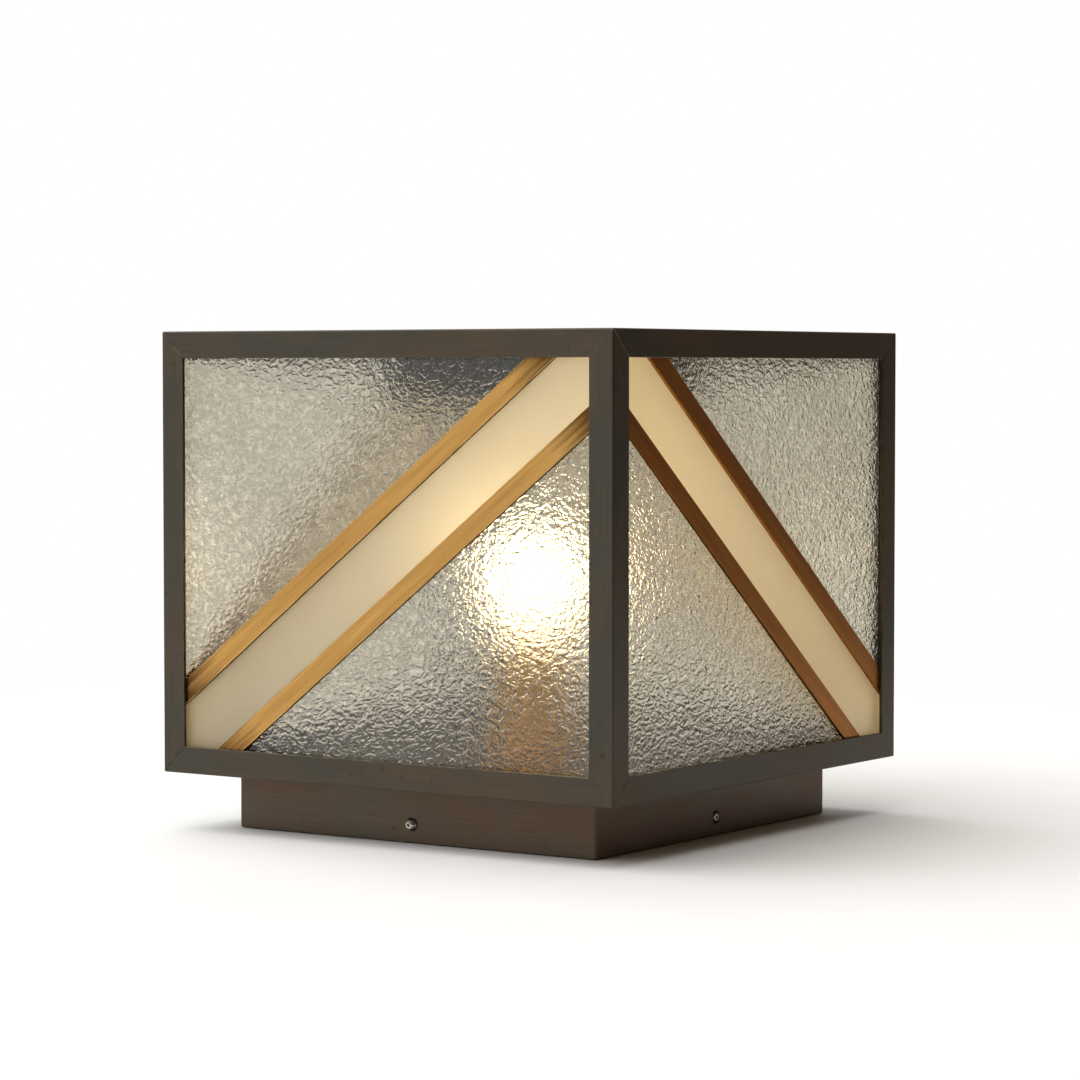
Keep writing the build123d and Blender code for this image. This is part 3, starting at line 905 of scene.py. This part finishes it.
for side, outward in side_out.items():
    node = f"set_screw_{side}"
    low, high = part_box(node)
    reach = high - low
    length = abs(reach.dot(outward))
    radius = reach.z / 2
    ridge = radius * (1 - core_share)
    end_margin = 2 * ridge
    turns = (length - 2 * end_margin) / thread_pitch
    winding_sizes = {
        "Turns": turns,
        "Pitch": thread_pitch,
        "Radius": radius - ridge,
        "Ridge": ridge,
        "Foot": (low + high) / 2 - outward * (length / 2 - end_margin),
        "Tilt": outward.to_track_quat("Z", "Y").to_euler(),
        "Finish": screw_steel,
    }
    winding = grow(thread, bpy.data.meshes.new(node), winding_sizes)
    core = drawn_in(node, outward, core_share, screw_steel)
    settle(f"{node}_threaded", joined([core, winding]), node)
print("each set screw has", round(turns, 1), "turns of thread")

# %% [markdown]
# The lid is a solar panel: dark blue-violet cells in three columns under a sheet of glass, each cell
# crossed by a pale ribbon that breaks off at the gap to the next. The ribbons repeat on a grid, so a
# geometry tree sets one small plate on every point of it. The pale dots where four cells meet are
# the same tree with other sizes.

# %% The tree that sets plates on a grid
plate_inputs = {
    "Columns": "Int",
    "Rows": "Int",
    "Column pitch": "Float",
    "Row pitch": "Float",
    "Plate": "Vector",
    "Level": "Float",
    "Finish": "Material",
}
plates, given = start_tree("plates_on_a_grid", plate_inputs)
gaps_across = arithmetic(plates, "SUBTRACT", given["Columns"], 1.0)
gaps_along = arithmetic(plates, "SUBTRACT", given["Rows"], 1.0)
grid_inputs = {
    "Size X": arithmetic(plates, "MULTIPLY", gaps_across, given["Column pitch"]),
    "Size Y": arithmetic(plates, "MULTIPLY", gaps_along, given["Row pitch"]),
    "Vertices X": given["Columns"],
    "Vertices Y": given["Rows"],
}
grid = add(plates, "GeometryNodeMeshGrid", None, grid_inputs).outputs[0]
plate = add(plates, "GeometryNodeMeshCube", None, {"Size": given["Plate"]}).outputs[0]
spread = add(plates, "GeometryNodeInstanceOnPoints", None, {"Points": grid, "Instance": plate}).outputs[0]
lift = add(plates, "ShaderNodeCombineXYZ", None, {2: given["Level"]}).outputs[0]
raised = add(plates, "GeometryNodeTransform", None, {"Geometry": spread, "Translation": lift}).outputs[0]
end_tree(plates, raised, given["Finish"])
print("the tree of the plates has", len(plates.nodes), "nodes")

# %% [markdown]
# The cells lie close under the glass, so a copy of them is lowered a little on top to leave room for
# the ribbons. Their grid is measured on the solid. Each cell has a tone of its own, cloudy crystals and
# very fine contact lines across it; a noise that gives one value to each whole number picks the tone.

# %% Solar cells
cell_drop = 0.00015
cell_tone_share = 0.5
finger_count = 500.0
finger_from = 0.9
finger_share = 0.06
cell_tone_colour = screen_colour(46, 45, 62)
finger_colour = screen_colour(150, 152, 168)

cell_shape = cad_copy("solar_cells")
cell_floor = min(vertex.co.z for vertex in cell_shape.verts)
cell_level = max(vertex.co.z for vertex in cell_shape.verts)
cell_edges_x = sorted({round(vertex.co.x, 5) for vertex in cell_shape.verts})
cell_edges_y = sorted({round(vertex.co.y, 5) for vertex in cell_shape.verts})
columns = len(cell_edges_x) // 2
rows = len(cell_edges_y) // 2
column_pitch = cell_edges_x[2] - cell_edges_x[0]
row_pitch = cell_edges_y[2] - cell_edges_y[0]
cell_length = cell_edges_y[1] - cell_edges_y[0]
for vertex in cell_shape.verts:
    if vertex.co.z > (cell_floor + cell_level) / 2:
        vertex.co.z -= cell_drop
cell_mesh = as_mesh(cell_shape, "solar_cells_lowered")

cell_blue, tree, shader, place = start_finish("solar_cell_blue", {"Specular IOR Level": 0.25})
cell_number = vector_sum(tree, "DIVIDE", place, (column_pitch / 2, row_pitch, 1.0))
cell_name = add(tree, "ShaderNodeVectorMath", {"operation": "FLOOR"}, {0: cell_number}).outputs[0]
flat_noise = {"noise_dimensions": "2D"}
cell_tone = add(tree, "ShaderNodeTexWhiteNoise", flat_noise, {"Vector": cell_name}).outputs["Value"]
crystals = clouds(tree, place, even(70.0), 4.0, 0.6)
finger_place = arithmetic(tree, "MULTIPLY", along(tree, place, (0.0, 1.0, 0.0)), finger_count)
fingers = arithmetic(tree, "GREATER_THAN", arithmetic(tree, "FRACT", finger_place), finger_from)
blues = mix(tree, span(tree, crystals, *most_noise), screen_colour(56, 52, 94), screen_colour(42, 39, 70))
cell_base = mix(tree, arithmetic(tree, "MULTIPLY", cell_tone, cell_tone_share), blues, cell_tone_colour)
cell_sources = {
    "Base Color": mix(tree, arithmetic(tree, "MULTIPLY", fingers, finger_share), cell_base, finger_colour),
    "Roughness": span(tree, crystals, *most_noise, 0.25, 0.4),
    "Normal": bump(tree, crystals, 0.00001, 0.3),
}
feed(tree, shader, cell_sources)
cell_mesh.materials.append(cell_blue)
settle("solar_cells_lowered", cell_mesh, "solar_cells")
print("cells:", columns, "by", rows, "with a pitch of", round(column_pitch, 4), "by", round(row_pitch, 4))

# %% [markdown]
# Ribbons and dots are tinned copper foil, a tenth of a millimetre thick. One tree sets both: a ribbon on
# the middle of every cell, and a dot on every crossing of the gaps between them.

# %% Ribbons and dots
ribbon_width = 0.0020
ribbon_thick = 0.0001
ribbon_break = 0.0010
dot_side = 0.0008
ribbon_white = mottled(
    "ribbon_tinned",
    pale=screen_colour(254, 254, 254),
    dark=screen_colour(240, 241, 244),
    grain=(300.0, 60.0, 300.0),
    roughness=(0.35, 0.5),
    relief=0.00001,
    constants={"Specular IOR Level": 0.5},
)
ribbon_sizes = {
    "Columns": columns,
    "Rows": rows,
    "Column pitch": column_pitch,
    "Row pitch": row_pitch,
    "Plate": (ribbon_width, cell_length - ribbon_break, ribbon_thick),
    "Level": cell_level - cell_drop + ribbon_thick / 2,
    "Finish": ribbon_white,
}
ribbons = grow(plates, bpy.data.meshes.new("ribbons"), ribbon_sizes)
settle("solar_ribbons", ribbons, "solar_cells", replaced=False)
dot_plate = (dot_side, dot_side, ribbon_thick)
dot_sizes = dict(ribbon_sizes, Columns=columns - 1, Rows=rows - 1, Plate=dot_plate)
dots = grow(plates, bpy.data.meshes.new("dots"), dot_sizes)
settle("solar_corner_dots", dots, "solar_cells", replaced=False)
print("ribbons:", columns * rows, "and dots:", (columns - 1) * (rows - 1))

# %% [markdown]
# The bulb is lit. Its globe shines in a warm white that is strongest in its upper half, and a fine
# frosting changes the strength a little. The white body below it is lit by the globe: a glow that
# fades downwards stands in for light that runs inside the plastic.

# %% The lit bulb
globe_foot_share = 0.55
globe_strength = (9.0, 10.5)
shell_strength = 8.0
shell_fade = 1.5

globe_constants = {"Base Color": (0.95, 0.92, 0.85, 1.0), "Emission Color": (1.0, 0.77, 0.44, 1.0)}
globe_lit, tree, shader, place = start_finish("globe_lit", globe_constants)
globe_height = along(tree, place, up_way)
lamp_fall = span(tree, globe_height, globe_low.z, globe_low.z + bulb_radius, globe_foot_share, 1.0)
frosting = clouds(tree, place, even(260.0), 3.0)
lamp_light = span(tree, frosting, *most_noise, *globe_strength)
globe_sources = {
    "Emission Strength": arithmetic(tree, "MULTIPLY", lamp_fall, lamp_light),
    "Roughness": span(tree, frosting, *most_noise, 0.35, 0.5),
    "Normal": bump(tree, frosting, 0.00005, 0.4),
}
feed(tree, shader, globe_sources)

shell_low, shell_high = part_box("bulb_body")
shell_constants = {"Emission Color": (1.0, 0.76, 0.42, 1.0), "Specular IOR Level": 0.5}
shell_white, tree, shader, place = start_finish("bulb_shell_white", shell_constants)
shell_height = span(tree, along(tree, place, up_way), shell_low.z, shell_high.z)
shell_glow = arithmetic(tree, "POWER", shell_height, shell_fade)
moulding = clouds(tree, place, even(60.0), 3.0)
shell_share = span(tree, moulding, *middle_noise)
shell_sources = {
    "Base Color": mix(tree, shell_share, screen_colour(238, 236, 230), screen_colour(228, 225, 218)),
    "Roughness": span(tree, moulding, *most_noise, 0.3, 0.42),
    "Emission Strength": arithmetic(tree, "MULTIPLY", shell_glow, shell_strength),
    "Normal": bump(tree, moulding, 0.00003),
}
feed(tree, shader, shell_sources)
print("the globe is lit from", round(globe_low.z, 3), "to", round(globe_high.z, 3), "m")

# %% [markdown]
# The tray under the panel is lacquered grey, which shows as a border round the cells. Under the cells
# it has a dark backing, which makes the gaps between them black. The tray is one piece, so its finish
# tells the two apart by place.

# %% Tray with a dark backing under the cells
backing_colour = screen_colour(20, 20, 23)
tray_finish, tree, shader, place = start_finish("tray_grey_lacquer", {"Specular IOR Level": 0.25})
tray_place = add(tree, "ShaderNodeSeparateXYZ", None, {0: place}).outputs
off_x = arithmetic(tree, "ABSOLUTE", tray_place[0])
off_y = arithmetic(tree, "ABSOLUTE", tray_place[1])
within_x = arithmetic(tree, "LESS_THAN", off_x, cell_edges_x[-1])
within_y = arithmetic(tree, "LESS_THAN", off_y, cell_edges_y[-1])
within = arithmetic(tree, "MULTIPLY", within_x, within_y)
lacquer = clouds(tree, place, even(18.0), 3.0)
orange_peel = clouds(tree, place, even(420.0))
border = mix(tree, span(tree, lacquer, *middle_noise), screen_colour(74, 74, 70), screen_colour(67, 67, 64))
tray_sources = {
    "Base Color": mix(tree, within, border, backing_colour),
    "Roughness": span(tree, orange_peel, *most_noise, 0.45, 0.6),
    "Normal": bump(tree, orange_peel, 0.00002),
}
feed(tree, shader, tray_sources)
backing_reach = (round(cell_edges_x[-1], 4), round(cell_edges_y[-1], 4))
print("the backing reaches", backing_reach, "m from the middle")

# %% [markdown]
# What remains keeps its solid and only needs a finish of two close colours. The sheet over the cells is
# coated glass: it mirrors little, so the cells stay dark, and a faint satin breaks what it mirrors. The
# lampholder is brass that picks up the warm light of the bulb above it, which a weak emission stands
# for. The nuts behind the screw holes are painted near black as shade, so that each hole stays dark
# round its screw.
# Each row gives the finish, its two colours, cells to a metre, span of roughness, relief and constants.

# %% Finishes of the other pieces
metal = {"Metallic": 1.0}
plain = {"Specular IOR Level": 0.5}
warmed = {"Metallic": 0.1, "Emission Color": (1.0, 0.60, 0.10, 1.0), "Emission Strength": 0.12}
coated = {"Transmission Weight": 1.0, "IOR": 1.45, "Specular Tint": (0.25, 0.25, 0.25, 1.0)}
two_tones = {
    # The brass inside the box is painted dark as the shade that falls there.
    "inner_brass": (
        "brass_sheet_dull", (84, 70, 52), (64, 52, 38), even(40.0), (0.38, 0.55), 0.00004, metal,
    ),
    "steel_plate": (
        "steel_sheet", (190, 190, 188), (160, 160, 158), (24.0, 160.0, 160.0), (0.3, 0.45), 0.00003, metal,
    ),
    "seal_rubber": ("rubber_black", (30, 30, 30), (20, 20, 20), even(150.0), (0.6, 0.8), 0.00006, plain),
    "holder_brass": (
        "brass_turned", (255, 196, 62), (246, 172, 46), (30.0, 30.0, 300.0), (0.34, 0.48), 0.00002, warmed,
    ),
    "holder_ceramic": (
        "ceramic_unglazed", (226, 220, 208), (210, 203, 190), even(60.0), (0.6, 0.8), 0.00008, plain,
    ),
    "bulb_cap_metal": (
        "cap_nickel", (206, 200, 190), (168, 160, 148), (40.0, 40.0, 400.0), (0.22, 0.36), 0.00002, metal,
    ),
    "box_plastic": (
        "box_black_grained", (38, 38, 40), (30, 30, 32), even(240.0), (0.45, 0.6), 0.00008, plain,
    ),
    "battery_metal": (
        "cell_sleeve_green", (60, 110, 84), (48, 92, 70), even(80.0), (0.28, 0.4), 0.00002, plain,
    ),
    "board": ("board_green", (34, 84, 54), (24, 66, 42), even(180.0), (0.35, 0.5), 0.00004, plain),
    "button_plastic": (
        "button_red", (170, 44, 36), (146, 34, 28), even(160.0), (0.3, 0.45), 0.00004, plain,
    ),
    # Near-black nuts: painted shade inside the screw holes.
    "weld_nuts": ("steel_blackened", (24, 23, 22), (14, 13, 13), even(120.0), (0.5, 0.7), 0.00004, plain),
}
finishes = {
    "opal_glass": opal_glass,
    "steel_screw": screw_steel,
    "bulb_opal": globe_lit,
    "bulb_white": shell_white,
    "tray_metal": tray_finish,
}
for key, (name, pale, dark, *rest) in two_tones.items():
    finishes[key] = mottled(name, screen_colour(*pale), screen_colour(*dark), *rest)
finishes["solar_glass"] = mottled(
    "glass_sheet",
    pale=(0.97, 0.98, 0.98, 1.0),
    dark=(0.94, 0.95, 0.955, 1.0),
    grain=even(30.0),
    roughness=(0.01, 0.05),
    relief=0.000002,
    constants=coated,
)
painted = 0
for node, piece in frame["nodes"].items():
    slot = piece.data.materials[0].name
    if slot in finishes and not piece.hide_render:
        piece.material_slots[0].material = finishes["weld_nuts" if node == "weld_nuts" else slot]
        painted += 1
print("pieces that keep their solid:", painted)
